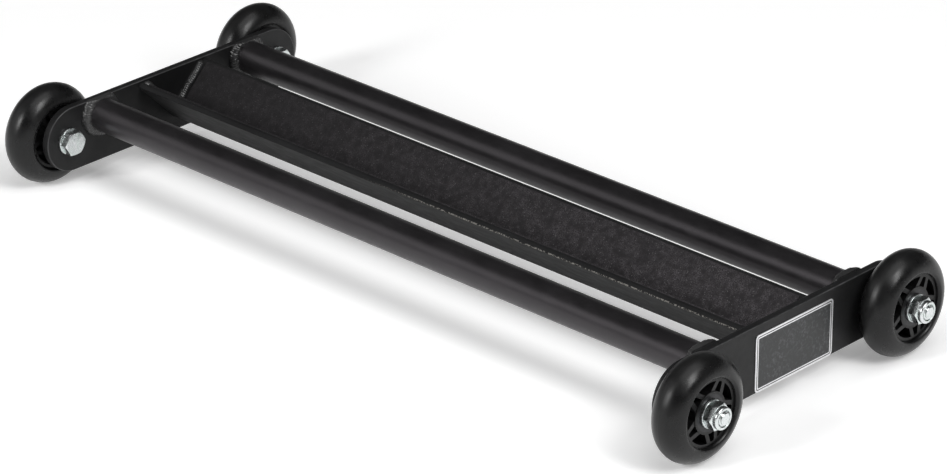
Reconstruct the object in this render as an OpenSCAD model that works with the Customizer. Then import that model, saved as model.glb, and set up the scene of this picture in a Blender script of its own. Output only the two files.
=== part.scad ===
// Ab glider: a low frame on four wheels, with two rails and a foot trough between two end plates.
// X runs along the rails, Y is the rolling direction, Z is up, and the floor is at z = 0.

/* [Frame] */
// Length of the rails and the trough, between the end plates' inner faces
rail_length = 588; // [300:1:900]
// Distance between the front and rear axles
wheelbase = 210; // [180:1:300]
// Height of the flat bar that the end plates are cut from
plate_height = 50; // [40:1:60]
// Thickness of the end plates
plate_thickness = 6; // [4:0.5:10]
// Distance of the end plates' round ends' centres inward from the axles
plate_end_inset = 5; // [0:0.5:8]

/* [Rails] */
// Outside diameter of the round rails
rail_diameter = 25; // [20:0.5:32]
// Wall of the round rails
rail_wall = 2; // [1:0.1:4]
// Distance of each rail's centre line inward from its axle, along Y
rail_inset = 31; // [29:0.5:45]
// Distance of the rails' top below the end plates' top edge
rail_drop = 0; // [0:0.5:6]

/* [Foot trough] */
// Leg length of the equal-leg angle
angle_leg = 50; // [30:1:60]
// Thickness of the angle's legs
angle_thickness = 5; // [3:0.5:8]
// Radius of the angle's inner root
angle_root_radius = 5; // [2:0.5:8]
// Radius on the inner corner of each leg's toe
angle_toe_radius = 2.5; // [1:0.25:2.9]
// Distance of the toes' sharp inner corners below the end plates' top edge
angle_drop = 0.8; // [0:0.1:8]
// Thickness of the grip tape
tape_thickness = 1; // [0.5:0.1:1.6]
// Gap between the grip tape's ends and the weld beads
tape_end_gap = 1.5; // [0.5:0.5:10]

/* [Welds] */
// Leg of the bead around each end of a rail
rail_weld = 5.5; // [2:0.25:7]
// Leg of the bead along the trough's inner faces
trough_weld = 4; // [2:0.25:6]
// Height that is left of a rail's bead above the end plate's top edge
weld_crown = 2; // [0.5:0.25:4]

/* [Wheels] */
// Diameter over the tyre
wheel_diameter = 76; // [64:1:100]
// Width over the tyre's round sides
wheel_width = 27; // [24:0.5:40]
// Gap between the tyre and the end plate
tyre_gap = 2.5; // [0.5:0.25:4]
// Diameter of the tyre's bore, which is the hub's rim
hub_diameter = 48; // [44:0.5:54]
// Radius on the tyre's edges, where its sides turn into its bore
tyre_lip = 2.4; // [1:0.1:4]
// Radial wall of the hub's rim
rim_wall = 2.2; // [1.5:0.1:4]
// Depth of the rim and the spokes below the tyre's side
spoke_recess = 3; // [0.5:0.25:5]
// Depth of the boss and the bearings below the tyre's side
boss_recess = 2.5; // [0.5:0.25:4]
// Wall of the boss round each bearing seat
boss_wall = 1.8; // [1.2:0.1:3]
// Height of the ridge that locks the tyre on the rim
ridge_height = 1.5; // [0.5:0.1:3]
// Width of that ridge at its foot
ridge_width = 9; // [4:0.5:14]
// Number of V-shaped spokes
spoke_count = 5; // [3:1:8]
// Thickness of each arm of a spoke
spoke_thickness = 3.1; // [1.2:0.1:3.5]
// Half angle between a spoke's arms at the boss
spoke_foot_angle = 18.5; // [8:0.5:24]
// Half angle between a spoke's arms at the rim
spoke_head_angle = 8.5; // [4:0.5:12]
// Angle of the first spoke above the rolling direction
spoke_start = 62; // [0:1:120]

/* [Bearings] */
// Outside diameter of each ball bearing
bearing_diameter = 26; // [24:0.5:30]
// Width of each ball bearing
bearing_width = 8; // [6:0.5:10]
// Diameter of the balls
ball_diameter = 4.76; // [3.5:0.01:5.2]
// Number of balls in each bearing
ball_count = 7; // [6:1:8]
// Radial space between the two rings' shoulders
ring_space = 3.4; // [2.6:0.1:3.6]
// Thickness of the shields
shield_thickness = 0.4; // [0.3:0.1:0.6]
// Depth of the shields below the rings' faces
shield_recess = 0.3; // [0.2:0.1:0.6]
// Radial thickness of the ball cage
cage_thickness = 1.2; // [0.8:0.1:1.4]
// Web of the ball cage on each side of a pocket
cage_web = 0.4; // [0.3:0.05:0.5]
// Height of the step in the boss that each bearing's outer ring stops on
seat_step = 2; // [1:0.25:2.5]

/* [Axle bolts] */
// Diameter of the axle bolts
bolt_diameter = 10; // [8:0.5:11]
// Width across flats of the bolt heads and the nuts
hex_width = 17; // [16:0.5:19]
// Height of the bolt heads
head_height = 6.4; // [5:0.1:8]
// Outside diameter of the washers
washer_diameter = 20; // [18:0.5:21]
// Thickness of the washers
washer_thickness = 2; // [1:0.1:3]
// Outside diameter of the spacers at the bearings
spacer_diameter = 14; // [13:0.5:14.5]
// Height of the lock nuts' hexagon
nut_height = 6.5; // [5:0.1:9]
// Height of the lock nuts' round collar
collar_height = 3.5; // [3:0.1:5]
// Radial thickness of the nylon ring in each nut
nylon_thickness = 1.6; // [1:0.1:1.8]
// Length of bolt that shows past each nut
bolt_projection = 1; // [0.5:0.5:6]
// Radial play of the end plates' holes round the bolts
hole_play = 0.25; // [0.1:0.05:0.5]
// Radial play of spacers, washers and bearings on the bolts
bore_play = 0.05; // [0.02:0.01:0.1]

/* [Blank label plate] */
// Length of the blank plate on the right end plate
label_length = 79.5; // [40:0.5:90]
// Height of the blank plate
label_height = 42.5; // [20:0.5:44]
// Thickness of the blank plate
label_thickness = 0.6; // [0.3:0.1:0.9]
// Radius of the blank plate's corners
label_radius = 3; // [1:0.5:12]
// Distance of the blank plate's centre behind the middle of the end plate
label_shift = 10.7; // [-15:0.1:20]
// Distance of the blank plate's lower edge above the end plate's lower edge
label_rise = 0.5; // [0.5:0.5:6]

/* [Hidden] */
$fn = 72;
cut = 1;
race_clearance = 0.04;
pocket_clearance = 0.12;
shield_gap = 0.3;
hex_chamfer = 30;
hex_corner_cut = 0.5;
bolt_chamfer = 1;
collar_lip = 0.9;
lip_reach = 0.8;
tape_toe_gap = 0.3;

front_left = [-1, -1];
rear_left = [-1, 1];
front_right = [1, -1];
rear_right = [1, 1];

axle_y = wheelbase / 2;
axle_z = wheel_diameter / 2;
plate_top = axle_z + plate_height / 2;
plate_bottom = axle_z - plate_height / 2;
plate_end_y = axle_y - plate_end_inset;

rail_radius = rail_diameter / 2;
rail_y = axle_y - rail_inset;
rail_z = plate_top - rail_drop - rail_radius;

trough_z = plate_top - angle_drop - (angle_leg + angle_thickness) * sin(45);
tape_start = angle_thickness + angle_root_radius;
tape_end = angle_leg - angle_toe_radius - tape_toe_gap;
tape_length = rail_length - 2 * (trough_weld + tape_end_gap);

// Stations along an axle, as distances from the glider's middle
plate_inner = rail_length / 2;
plate_outer = plate_inner + plate_thickness;
wheel_middle = plate_outer + tyre_gap + wheel_width / 2;
hub_length = wheel_width - 2 * boss_recess;
hub_inner = wheel_middle - hub_length / 2;
hub_outer = wheel_middle + hub_length / 2;
nut_inner = hub_outer + washer_thickness;
nut_outer = nut_inner + nut_height + collar_height;
head_inner = plate_inner - washer_thickness - head_height;
bolt_end = nut_outer + bolt_projection;

hub_radius = hub_diameter / 2;
rim_inner_radius = hub_radius - rim_wall;
rim_length = wheel_width - 2 * spoke_recess;
tyre_section_radius = wheel_width / 2;
tyre_section_centre = wheel_diameter / 2 - tyre_section_radius;

hex_face_radius = hex_width / 2 - hex_corner_cut;
bolt_radius = bolt_diameter / 2;
bore_radius = bolt_radius + bore_play;
ball_radius = ball_diameter / 2;
bearing_radius = bearing_diameter / 2;
ball_pitch_radius = (bolt_radius + bearing_radius) / 2;
inner_ring_radius = ball_pitch_radius - ring_space / 2;
outer_ring_bore = ball_pitch_radius + ring_space / 2;
bearing_offset = (hub_length - bearing_width) / 2;
shield_offset = bearing_width / 2 - shield_recess - shield_thickness;
pocket_radius = ball_radius + pocket_clearance;
sleeve_length = hub_length - 2 * bearing_width;

// Placement helpers

// Lays a drawing made on an axle at a corner: its +Z points outward along X from the middle.
// The left side is the right side turned round, because the same parts are fitted there.
module at_axle(corner) {
    rotate([0, 0, corner.x > 0 ? 0 : 180])
        translate([0, corner.x * corner.y * axle_y, axle_z])
            rotate([0, 90, 0])
                children();
}

module at_every_axle() {
    for (corner = [front_left, rear_left, front_right, rear_right])
        at_axle(corner)
            children();
}

module at_wheel(corner) {
    at_axle(corner)
        translate([0, 0, wheel_middle])
            children();
}

module at_both_bearings() {
    for (side = [-1, 1])
        translate([0, 0, side * bearing_offset])
            children();
}

// Lays a flat drawing across the glider, with its +X along Y and its +Y up, and extrudes it along X.
module across(length, centred = true) {
    rotate([90, 0, 90])
        linear_extrude(length, center = centred)
            children();
}

// Rings and prisms

module ring(outer, inner, length) {
    difference() {
        cylinder(r = outer, h = length);
        translate([0, 0, -cut])
            cylinder(r = inner, h = length + 2 * cut);
    }
}

// Hexagon prism on z = 0 whose upper corners are turned off to a cone.
module hexagon(length) {
    corner_radius = hex_width / sqrt(3);
    turned_radius = corner_radius + cut;
    intersection() {
        cylinder(r = corner_radius, h = length, $fn = 6);
        rotate_extrude()
            polygon([
                [0, 0],
                [turned_radius, 0],
                [turned_radius, length - (turned_radius - hex_face_radius) * tan(hex_chamfer)],
                [hex_face_radius, length],
                [0, length]
            ]);
    }
}

// The corner left outside a quarter circle, with its sharp point at the origin.
module spandrel(radius) {
    difference() {
        translate([-cut, -cut])
            square(radius + cut);
        translate([radius, radius])
            circle(radius);
    }
}

// Frame

module end_plate(side) {
    color("dimgray")
        difference() {
            translate([side * (plate_inner + plate_outer) / 2, 0, 0])
                across(plate_thickness) {
                    translate([-plate_end_y, plate_bottom])
                        square([2 * plate_end_y, plate_height]);
                    for (end = [-1, 1])
                        translate([end * plate_end_y, axle_z])
                            circle(plate_height / 2);
                }
            at_every_axle()
                translate([0, 0, plate_inner - cut])
                    cylinder(r = bolt_radius + hole_play, h = plate_thickness + 2 * cut);
        }
}

module rail(row) {
    color("dimgray")
        translate([-plate_inner, row * rail_y, rail_z])
            rotate([0, 90, 0])
                ring(rail_radius, rail_radius - rail_wall, rail_length);
}

// A convex bead round each end of each rail, trimmed where it would stand over the plate.
module rail_welds() {
    color("gray")
        intersection() {
            for (side = [-1, 1], row = [-1, 1])
                translate([side * plate_inner, row * rail_y, rail_z])
                    rotate([0, -side * 90, 0])
                        rotate_extrude()
                            translate([rail_radius, 0])
                                intersection() {
                                    circle(rail_weld);
                                    square(rail_weld);
                                }
            translate([-plate_inner, -axle_y, plate_bottom])
                cube([rail_length, wheelbase, plate_height + weld_crown]);
        }
}

// Foot trough: an equal-leg angle that stands on its corner

// Turns a drawing made in the angle's own corner so that both legs rise at 45 degrees.
module in_trough() {
    translate([0, 0, trough_z])
        rotate([45, 0, 0])
            children();
}

module angle_outline() {
    difference() {
        union() {
            square([angle_leg, angle_thickness]);
            square([angle_thickness, angle_leg]);
            translate([angle_thickness, angle_thickness])
                spandrel(angle_root_radius);
        }
        translate([angle_leg, angle_thickness])
            rotate(180)
                spandrel(angle_toe_radius);
        translate([angle_thickness, angle_leg])
            rotate(180)
                spandrel(angle_toe_radius);
    }
}

module angle_bar() {
    in_trough()
        across(rail_length)
            angle_outline();
}

module foot_trough() {
    color("dimgray")
        angle_bar();
}

module grip_tape(row) {
    color("black")
        rotate([0, 0, row > 0 ? 0 : 180])
            in_trough()
                across(tape_length)
                    translate([tape_start, angle_thickness])
                        square([tape_end - tape_start, tape_thickness]);
}

// At each end one bead runs down the front leg's inner face, round the root and up the rear leg's.
module trough_welds() {
    bead_reach = angle_leg - angle_toe_radius;
    color("gray")
        difference() {
            in_trough()
                intersection() {
                    for (side = [-1, 1])
                        translate([side * plate_inner, 0, 0]) {
                            translate([0, angle_thickness, 0])
                                cylinder(r = trough_weld, h = bead_reach);
                            translate([0, 0, angle_thickness])
                                rotate([-90, 0, 0])
                                    cylinder(r = trough_weld, h = bead_reach);
                        }
                    translate([-plate_inner, angle_thickness, angle_thickness])
                        cube([rail_length, angle_leg, angle_leg]);
                }
            angle_bar();
        }
}

// Blank label plate

module label_outline() {
    difference() {
        square([label_length, label_height], center = true);
        for (turn = [0, 180])
            rotate(turn) {
                translate([-label_length / 2, -label_height / 2])
                    spandrel(label_radius);
                translate([-label_length / 2, label_height / 2])
                    rotate(-90)
                        spandrel(label_radius);
            }
    }
}

module blank_label_plate() {
    color("black")
        translate([plate_outer, label_shift, plate_bottom + label_rise + label_height / 2])
            across(label_thickness, centred = false)
                label_outline();
}

// Wheels

// The rim's locking ridge, and the groove in the tyre that it fills.
module ridge_outline() {
    foot = ridge_width / 2;
    head = foot - ridge_height / 2;
    polygon([
        [hub_radius - cut, -foot],
        [hub_radius, -foot],
        [hub_radius + ridge_height, -head],
        [hub_radius + ridge_height, head],
        [hub_radius, foot],
        [hub_radius - cut, foot]
    ]);
}

module tyre(corner) {
    color("black")
        at_wheel(corner)
            rotate_extrude()
                difference() {
                    intersection() {
                        translate([tyre_section_centre, 0])
                            circle(tyre_section_radius);
                        translate([hub_radius, -wheel_width / 2])
                            square([wheel_diameter / 2, wheel_width]);
                    }
                    ridge_outline();
                    translate([hub_radius, -wheel_width / 2])
                        spandrel(tyre_lip);
                    translate([hub_radius, wheel_width / 2])
                        rotate(-90)
                            spandrel(tyre_lip);
                }
}

module rim_and_boss_outline() {
    translate([rim_inner_radius, -rim_length / 2])
        square([rim_wall, rim_length]);
    ridge_outline();
    difference() {
        translate([bearing_radius - seat_step, -hub_length / 2])
            square([seat_step + boss_wall, hub_length]);
        for (side = [-1, 1])
            translate([bearing_radius / 2, side * bearing_offset - bearing_width / 2])
                square([bearing_radius / 2, bearing_width]);
    }
}

// Two arms that start apart on the boss and come together at the rim.
module v_spoke() {
    foot_radius = bearing_radius + boss_wall / 2;
    head_radius = rim_inner_radius + rim_wall / 2;
    for (arm = [-1, 1]) {
        foot = foot_radius * [cos(arm * spoke_foot_angle), sin(arm * spoke_foot_angle)];
        head = head_radius * [cos(arm * spoke_head_angle), sin(arm * spoke_head_angle)];
        run = head - foot;
        translate(foot)
            rotate(atan2(run.y, run.x))
                translate([0, -spoke_thickness / 2])
                    square([norm(run), spoke_thickness]);
    }
}

module hub(corner) {
    color("dimgray")
        at_wheel(corner) {
            rotate_extrude()
                rim_and_boss_outline();
            linear_extrude(rim_length, center = true)
                for (spoke = [0 : spoke_count - 1])
                    rotate(90 + spoke_start + spoke * 360 / spoke_count)
                        v_spoke();
        }
}

// Ball bearings, two to a wheel

module race() {
    translate([ball_pitch_radius, 0])
        circle(ball_radius + race_clearance);
}

module outer_rings(corner) {
    color("silver")
        at_wheel(corner)
            at_both_bearings()
                rotate_extrude()
                    difference() {
                        translate([outer_ring_bore, -bearing_width / 2])
                            square([bearing_radius - outer_ring_bore, bearing_width]);
                        race();
                    }
}

module inner_rings(corner) {
    color("silver")
        at_wheel(corner)
            at_both_bearings()
                rotate_extrude()
                    difference() {
                        translate([bore_radius, -bearing_width / 2])
                            square([inner_ring_radius - bore_radius, bearing_width]);
                        race();
                    }
}

module shields(corner) {
    color("gray")
        at_wheel(corner)
            at_both_bearings()
                for (start = [-shield_offset - shield_thickness, shield_offset])
                    translate([0, 0, start])
                        ring(outer_ring_bore, inner_ring_radius + shield_gap, shield_thickness);
}

// Repeats a drawing made on +X once for each ball.
module at_every_ball() {
    for (ball = [0 : ball_count - 1])
        rotate(ball * 360 / ball_count)
            translate([ball_pitch_radius, 0, 0])
                children();
}

module balls(corner) {
    color("lightgray")
        at_wheel(corner)
            at_both_bearings()
                at_every_ball()
                    sphere(ball_radius);
}

module ball_cages(corner) {
    half_width = pocket_radius + cage_web;
    color("burlywood")
        at_wheel(corner)
            at_both_bearings()
                difference() {
                    translate([0, 0, -half_width])
                        ring(
                            ball_pitch_radius + cage_thickness / 2,
                            ball_pitch_radius - cage_thickness / 2,
                            2 * half_width
                        );
                    at_every_ball()
                        rotate([0, 90, 0])
                            cylinder(r = pocket_radius, h = 2 * cage_thickness, center = true);
                }
}

// What is stacked on each axle bolt

module hub_sleeve(corner) {
    color("silver")
        at_wheel(corner)
            translate([0, 0, -sleeve_length / 2])
                ring(spacer_diameter / 2, bore_radius, sleeve_length);
}

module plate_spacer(corner) {
    color("silver")
        at_axle(corner)
            translate([0, 0, plate_outer])
                ring(spacer_diameter / 2, bore_radius, hub_inner - plate_outer);
}

module washers(start) {
    color("silver")
        at_every_axle()
            translate([0, 0, start])
                ring(washer_diameter / 2, bore_radius, washer_thickness);
}

module axle_bolts() {
    shank_start = head_inner + head_height;
    color("silver")
        at_every_axle() {
            translate([0, 0, shank_start])
                rotate([180, 0, 0])
                    hexagon(head_height);
            translate([0, 0, shank_start - cut])
                cylinder(r = bolt_radius, h = bolt_end - bolt_chamfer - shank_start + cut);
            translate([0, 0, bolt_end - bolt_chamfer])
                cylinder(r1 = bolt_radius, r2 = bolt_radius - bolt_chamfer, h = bolt_chamfer);
        }
}

module lock_nuts() {
    collar_end = nut_height + collar_height;
    color("silver")
        at_every_axle()
            translate([0, 0, nut_inner])
                difference() {
                    union() {
                        hexagon(nut_height);
                        cylinder(r = hex_face_radius, h = collar_end);
                    }
                    translate([0, 0, -cut])
                        cylinder(r = bolt_radius, h = nut_height + 2 * cut);
                    translate([0, 0, nut_height])
                        cylinder(r = bolt_radius + nylon_thickness, h = collar_height - collar_lip);
                    translate([0, 0, nut_height])
                        cylinder(r = bolt_radius + lip_reach, h = collar_height + cut);
                }
}

module nut_nylon_rings() {
    color("white")
        at_every_axle()
            translate([0, 0, nut_inner + nut_height])
                ring(bolt_radius + nylon_thickness, bolt_radius, collar_height - collar_lip);
}

end_plate(-1);  // end_plate_left
end_plate(1);  // end_plate_right
rail(-1);  // front_rail
rail(1);  // rear_rail
foot_trough();
grip_tape(-1);  // grip_tape_front
grip_tape(1);  // grip_tape_rear
rail_welds();
trough_welds();
blank_label_plate();
axle_bolts();
washers(plate_inner - washer_thickness);  // head_washers
washers(hub_outer);  // nut_washers
lock_nuts();
nut_nylon_rings();
tyre(front_left);  // tyre_front_left
tyre(rear_left);  // tyre_rear_left
tyre(front_right);  // tyre_front_right
tyre(rear_right);  // tyre_rear_right
hub(front_left);  // hub_front_left
hub(rear_left);  // hub_rear_left
hub(front_right);  // hub_front_right
hub(rear_right);  // hub_rear_right
outer_rings(front_left);  // outer_rings_front_left
outer_rings(rear_left);  // outer_rings_rear_left
outer_rings(front_right);  // outer_rings_front_right
outer_rings(rear_right);  // outer_rings_rear_right
shields(front_left);  // shields_front_left
shields(rear_left);  // shields_rear_left
shields(front_right);  // shields_front_right
shields(rear_right);  // shields_rear_right
balls(front_left);  // balls_front_left
balls(rear_left);  // balls_rear_left
balls(front_right);  // balls_front_right
balls(rear_right);  // balls_rear_right
ball_cages(front_left);  // ball_cages_front_left
ball_cages(rear_left);  // ball_cages_rear_left
ball_cages(front_right);  // ball_cages_front_right
ball_cages(rear_right);  // ball_cages_rear_right
inner_rings(front_left);  // inner_rings_front_left
inner_rings(rear_left);  // inner_rings_rear_left
inner_rings(front_right);  // inner_rings_front_right
inner_rings(rear_right);  // inner_rings_rear_right
hub_sleeve(front_left);  // hub_sleeve_front_left
hub_sleeve(rear_left);  // hub_sleeve_rear_left
hub_sleeve(front_right);  // hub_sleeve_front_right
hub_sleeve(rear_right);  // hub_sleeve_rear_right
plate_spacer(front_left);  // plate_spacer_front_left
plate_spacer(rear_left);  // plate_spacer_rear_left
plate_spacer(front_right);  // plate_spacer_front_right
plate_spacer(rear_right);  // plate_spacer_rear_right
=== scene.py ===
"""Ab glider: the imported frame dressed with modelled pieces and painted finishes, in a pale studio.

Everything is in metres in the frame's own axes: X runs along the rails, Y is the rolling
direction, Z is up, and the floor is at z = 0.
"""

import logging
import math
from contextlib import contextmanager
from dataclasses import dataclass, field
from enum import Enum
from itertools import pairwise
from typing import Callable, Iterator, Sequence

import bmesh
import bpy
from mathutils import Matrix, Vector, noise


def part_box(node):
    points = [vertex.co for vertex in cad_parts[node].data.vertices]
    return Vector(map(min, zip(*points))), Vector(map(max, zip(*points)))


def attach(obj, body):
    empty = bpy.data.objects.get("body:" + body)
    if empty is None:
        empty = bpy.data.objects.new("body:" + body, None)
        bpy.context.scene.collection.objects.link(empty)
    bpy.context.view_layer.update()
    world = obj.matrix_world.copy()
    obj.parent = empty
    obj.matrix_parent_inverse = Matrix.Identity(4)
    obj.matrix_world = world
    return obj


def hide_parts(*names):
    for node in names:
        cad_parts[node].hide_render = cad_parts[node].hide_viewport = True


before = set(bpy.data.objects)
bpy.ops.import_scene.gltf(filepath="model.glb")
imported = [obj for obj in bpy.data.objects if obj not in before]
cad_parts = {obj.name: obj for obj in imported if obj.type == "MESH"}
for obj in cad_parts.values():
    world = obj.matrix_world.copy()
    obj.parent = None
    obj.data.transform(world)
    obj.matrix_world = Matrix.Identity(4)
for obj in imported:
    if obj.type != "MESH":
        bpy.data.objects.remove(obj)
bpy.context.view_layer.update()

MM = 0.001
QUARTER_TURN = math.pi / 2
HALF_TURN = math.pi
FULL_TURN = math.tau
LEAN = math.sqrt(0.5)

Flat = tuple[float, float]
Colour = tuple[float, float, float]
Piece = bpy.types.Object
Socket = bpy.types.NodeSocket

log = logging.getLogger("ab_glider")


class Side(Enum):
    """An end of the glider along X."""

    LEFT = -1
    RIGHT = 1


class Row(Enum):
    """A side of the glider along Y."""

    FRONT = -1
    REAR = 1


class Slot(Enum):
    """Material slot names that each new piece is passed with; nothing in this script reads them."""

    FRAME = "frame_coat"
    RAIL = "rail_coat"
    TROUGH = "trough_coat"
    WELD = "weld_coat"
    GRIP = "grip_tape"
    LABEL = "label"
    TYRE = "tyre"
    HUB = "hub_plastic"
    ZINC = "zinc"
    NYLON = "nylon"


class Pick(Enum):
    """What a selection in edit mode takes."""

    VERTICES = "VERT"
    EDGES = "EDGE"
    FACES = "FACE"


# Places read from the frame


@dataclass(frozen=True)
class Stations:
    """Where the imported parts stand, in metres. Distances along X are from the glider's middle."""

    plate_inner: float
    plate_outer: float
    plate_bottom: float
    plate_top: float
    plate_end: float
    axle_y: float
    axle_z: float
    wheel_middle: float
    hub_outer: float
    bolt_end: float
    rail_y: float
    rail_z: float
    rail_radius: float
    trough_bottom: float

    @classmethod
    def from_frame(cls) -> "Stations":
        """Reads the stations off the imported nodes' boxes.

        Returns:
            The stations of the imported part.
        """
        plate_low, plate_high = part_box("end_plate_right")
        tyre_low, tyre_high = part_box("tyre_rear_right")
        rail_low, rail_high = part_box("rear_rail")
        tyre_middle = (tyre_low + tyre_high) / 2
        rail_middle = (rail_low + rail_high) / 2
        return cls(
            plate_inner=plate_low.x,
            plate_outer=plate_high.x,
            plate_bottom=plate_low.z,
            plate_top=plate_high.z,
            plate_end=plate_high.y,
            axle_y=tyre_middle.y,
            axle_z=tyre_middle.z,
            wheel_middle=tyre_middle.x,
            hub_outer=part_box("hub_rear_right")[1].x,
            bolt_end=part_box("axle_bolts")[1].x,
            rail_y=rail_middle.y,
            rail_z=rail_middle.z,
            rail_radius=(rail_high.z - rail_low.z) / 2,
            trough_bottom=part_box("foot_trough")[0].z,
        )


@dataclass(frozen=True)
class Corner:
    """One of the four wheel corners. The left side's parts are the right side's, turned round."""

    side: Side
    row: Row

    @property
    def name(self) -> str:
        """The corner's name, as the CAD nodes end in."""
        return f"{self.row.name}_{self.side.name}".lower()

    @property
    def wheel_body(self) -> str:
        """The body that spins at this corner."""
        return f"wheel_{self.name}"

    @property
    def turn(self) -> float:
        """The turn about Z that brings a right-hand part to this corner."""
        return 0.0 if self.side is Side.RIGHT else HALF_TURN


STATIONS = Stations.from_frame()
CORNERS = tuple(Corner(side, row) for side in Side for row in Row)


# Modelling by hand


def put_down_all() -> None:
    """Deselects every object."""
    bpy.ops.object.select_all(action="DESELECT")


def pick_up(piece: Piece) -> None:
    """Makes one piece the only selected object, and the active one."""
    put_down_all()
    piece.select_set(True)
    bpy.context.view_layer.objects.active = piece


@contextmanager
def at_the_bench(piece: Piece, pick: Pick = Pick.VERTICES, take_all: bool = False) -> Iterator[None]:
    """Opens a piece in edit mode, and closes it at the end.

    Args:
        piece: The piece to edit.
        pick: What a click would select.
        take_all: Whether all of it is selected, and not nothing.
    """
    pick_up(piece)
    bpy.ops.object.mode_set(mode="EDIT")
    bpy.ops.mesh.select_mode(type=pick.value)
    bpy.ops.mesh.select_all(action="SELECT" if take_all else "DESELECT")
    yield
    bpy.ops.object.mode_set(mode="OBJECT")


def choose(piece: Piece, pick: Pick, wanted: Callable[[Vector], bool]) -> None:
    """Selects what passes a test, and nothing else, in a piece that is open in edit mode.

    Args:
        piece: The piece in edit mode.
        pick: Vertices, edges or faces.
        wanted: Says whether to take an element, from the place of its middle.
    """
    bpy.ops.mesh.select_mode(type=pick.value)
    bpy.ops.mesh.select_all(action="DESELECT")
    mesh = bmesh.from_edit_mesh(piece.data)
    if pick is Pick.VERTICES:
        places = [(vertex, vertex.co) for vertex in mesh.verts]
    elif pick is Pick.EDGES:
        places = [(edge, (edge.verts[0].co + edge.verts[1].co) / 2) for edge in mesh.edges]
    else:
        places = [(face, face.calc_center_median()) for face in mesh.faces]
    for element, place in places:
        if wanted(place):
            element.select_set(True)
    mesh.select_flush_mode()
    bmesh.update_edit_mesh(piece.data)


def start_from(primitive: Callable, name: str, **sizes) -> Piece:
    """Adds a primitive at its size and place, with its place taken into its mesh.

    Args:
        primitive: The operator that adds it.
        name: The new piece's name.
        **sizes: What the operator is given.

    Returns:
        The new piece, selected and active.
    """
    put_down_all()
    primitive(**sizes)
    piece = bpy.context.active_object
    piece.name = piece.data.name = name
    bpy.ops.object.transform_apply(location=True, rotation=True, scale=True)
    return piece


def draw(name: str, line: Sequence[Vector], closed: bool = True) -> Piece:
    """Draws a line by extruding one vertex from point to point.

    Args:
        name: The new piece's name.
        line: The points in order.
        closed: Whether the last point joins the first.

    Returns:
        The line as a piece of vertices and edges.
    """
    piece = start_from(bpy.ops.mesh.primitive_plane_add, name, size=MM, location=line[0])
    with at_the_bench(piece, take_all=True):
        bpy.ops.mesh.merge(type="CENTER")
        for here, there in pairwise(line):
            bpy.ops.mesh.extrude_region_move(TRANSFORM_OT_translate={"value": there - here})
        if closed:
            ends = (line[0], line[-1])
            choose(piece, Pick.VERTICES, lambda v: any((v - end).length < MM / 1000 for end in ends))
            bpy.ops.mesh.edge_face_add()
    return piece


def close_up(piece: Piece) -> None:
    """Merges doubled vertices and turns every face outward."""
    with at_the_bench(piece, take_all=True):
        bpy.ops.mesh.remove_doubles(threshold=MM / 1000)
        bpy.ops.mesh.normals_make_consistent(inside=False)


def turn_on_lathe(name: str, section: Sequence[Flat], steps: int = 96, closed: bool = True) -> Piece:
    """Turns a section about the X axis.

    Args:
        name: The new piece's name.
        section: Points as (distance along X, radius).
        steps: Number of faces round the axis.
        closed: Whether the section is a closed loop, as it is on a ring.

    Returns:
        The turned piece.
    """
    piece = draw(name, [Vector((along, radius, 0)) for along, radius in section], closed)
    with at_the_bench(piece, take_all=True):
        bpy.ops.mesh.spin(steps=steps, angle=FULL_TURN, center=(0, 0, 0), axis=(1, 0, 0))
    close_up(piece)
    return piece


def cut_slab(name: str, outline: Sequence[Flat], start: float, thickness: float) -> Piece:
    """Cuts an outline, drawn in Y and Z, out of a slab that lies across X.

    Args:
        name: The new piece's name.
        outline: Points as (y, z).
        start: Where the slab starts along X.
        thickness: The slab's thickness, toward +X.

    Returns:
        The slab.
    """
    piece = draw(name, [Vector((start, y, z)) for y, z in outline])
    with at_the_bench(piece, take_all=True):
        bpy.ops.mesh.edge_face_add()
        bpy.ops.mesh.extrude_region_move(TRANSFORM_OT_translate={"value": (thickness, 0, 0)})
    close_up(piece)
    return piece


def use_modifier(piece: Piece, kind: str, **settings) -> None:
    """Adds a modifier and applies it.

    Args:
        piece: The piece it works on.
        kind: Blender's name of the modifier.
        **settings: The modifier's values.
    """
    pick_up(piece)
    bpy.ops.object.modifier_add(type=kind)
    modifier = piece.modifiers[-1]
    for name, value in settings.items():
        setattr(modifier, name, value)
    bpy.ops.object.modifier_apply(modifier=modifier.name)


def soften(piece: Piece, width: float, segments: int = 3, sharper_than: float = 50) -> None:
    """Rounds a piece's sharp edges.

    Args:
        piece: The piece to soften.
        width: The round's width.
        segments: Faces across the round.
        sharper_than: Angle in degrees from which an edge is rounded.
    """
    use_modifier(
        piece, "BEVEL", width=width, segments=segments, limit_method="ANGLE",
        angle_limit=math.radians(sharper_than), use_clamp_overlap=True,
    )


def shade(piece: Piece, angle: float) -> None:
    """Shades a piece smooth up to an angle in degrees."""
    pick_up(piece)
    bpy.ops.object.shade_smooth_by_angle(angle=math.radians(angle))


def smooth(piece: Piece, angle: float = 35) -> None:
    """Shades a piece smooth up to an angle in degrees, with its large faces kept flat."""
    shade(piece, angle)
    use_modifier(piece, "WEIGHTED_NORMAL", keep_sharp=True, weight=80)


def combine(piece: Piece, tool: Piece, operation: str) -> None:
    """Cuts, joins or intersects a piece with a tool, and throws the tool away."""
    use_modifier(piece, "BOOLEAN", object=tool, operation=operation, solver="EXACT")
    bpy.data.objects.remove(tool)


def drill(piece: Piece, place: Sequence[float], radius: float, depth: float) -> None:
    """Drills a round hole along X through a piece.

    Args:
        piece: The piece to drill.
        place: The middle of the hole.
        radius: The hole's radius.
        depth: The drill's whole length.
    """
    bit = start_from(
        bpy.ops.mesh.primitive_cylinder_add, "drill", vertices=64, radius=radius, depth=depth,
        rotation=(0, QUARTER_TURN, 0), location=place,
    )
    combine(piece, bit, "DIFFERENCE")


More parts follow.
